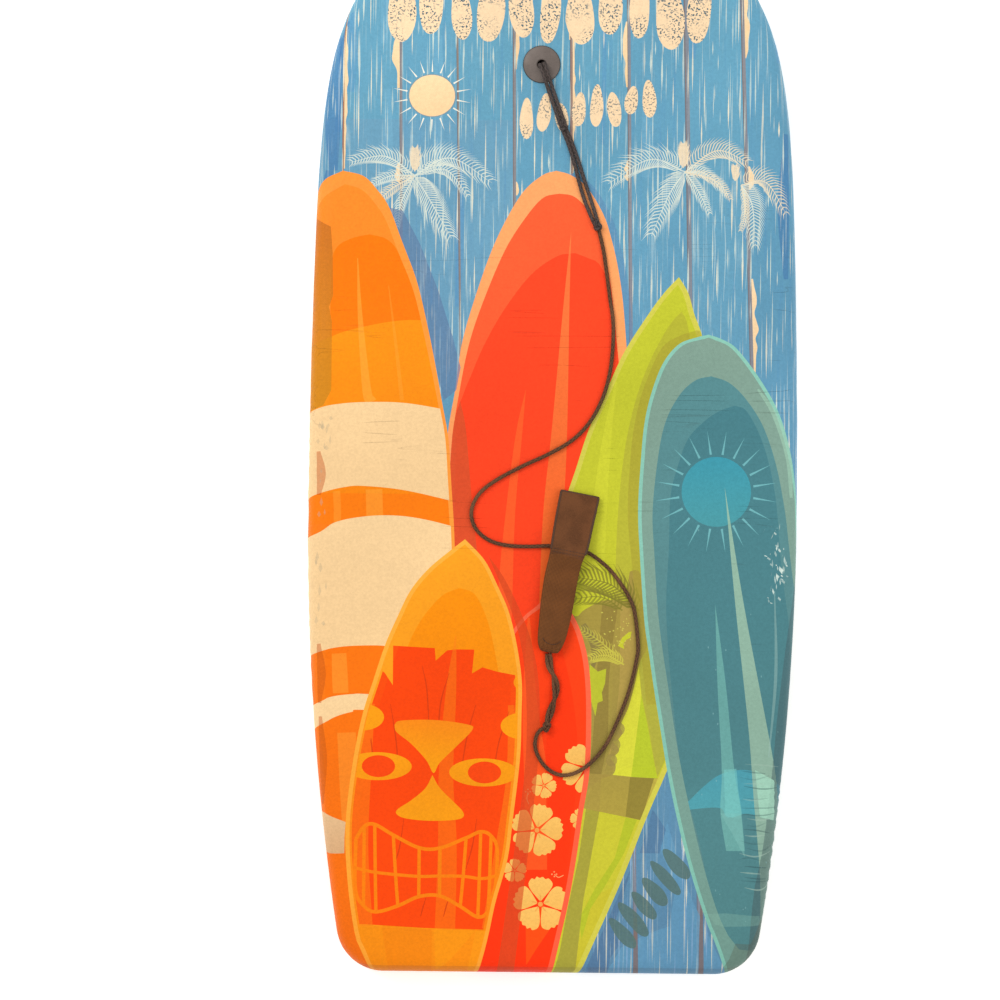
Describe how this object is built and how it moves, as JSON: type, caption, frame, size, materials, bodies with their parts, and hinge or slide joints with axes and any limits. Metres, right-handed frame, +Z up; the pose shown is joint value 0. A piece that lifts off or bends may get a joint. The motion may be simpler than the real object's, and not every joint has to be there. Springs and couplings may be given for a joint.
{
  "type": "bodyboard",
  "caption": "Foam bodyboard with a printed cover, a slick bottom, a leash plug in the deck and a corded leash with a hook-and-loop wrist cuff.",
  "frame": {"origin": "middle of the flat bottom, on the surface the board lies on", "axes": "+X across the board to the right, +Y along it toward the nose, +Z up out of the deck"},
  "size_m": [0.474, 1.044, 0.0643],
  "materials": {
    "bead_foam": "moulded bead foam",
    "printed_cover": "printed woven polyester on thin foam",
    "slick_sheet": "smooth polyethylene sheet",
    "plug_plastic": "moulded nylon, satin",
    "plug_base_plastic": "moulded nylon, satin",
    "leash_cord": "braided polyester cord",
    "cuff_mesh": "padded spacer mesh",
    "cuff_strap": "woven strap with a brushed face",
    "cuff_tape": "hook-and-loop tape"
  },
  "bodies": {
    "board": {"foam_core": "bead_foam", "deck_cover": "printed_cover", "bottom_slick": "slick_sheet", "plug_cap": "plug_plastic", "plug_base": "plug_base_plastic", "plug_stopper_knot": "leash_cord", "plug_string_left": "leash_cord", "plug_string_right": "leash_cord", "hitch_knot": "leash_cord", "end_loop_left": "leash_cord", "end_loop_right": "leash_cord", "cord_knot": "leash_cord", "leash_cord": "leash_cord", "cuff_knot": "leash_cord", "cuff_loop_left": "leash_cord", "cuff_loop_right": "leash_cord", "cuff_back_pad": "cuff_mesh", "cuff_loop_tape": "cuff_tape"},
    "cuff_front": {"cuff_front_pad": "cuff_mesh", "cuff_flap": "cuff_strap", "cuff_hook_tape": "cuff_tape"}
  },
  "joints": [
    {"name": "cuff_open", "type": "hinge", "parent": "board", "child": "cuff_front", "pos_m": [-0.00138, -0.20559, 0.0585], "axis": [0.9828, -0.1846, 0], "range_deg": [0, 120]}
  ]
}
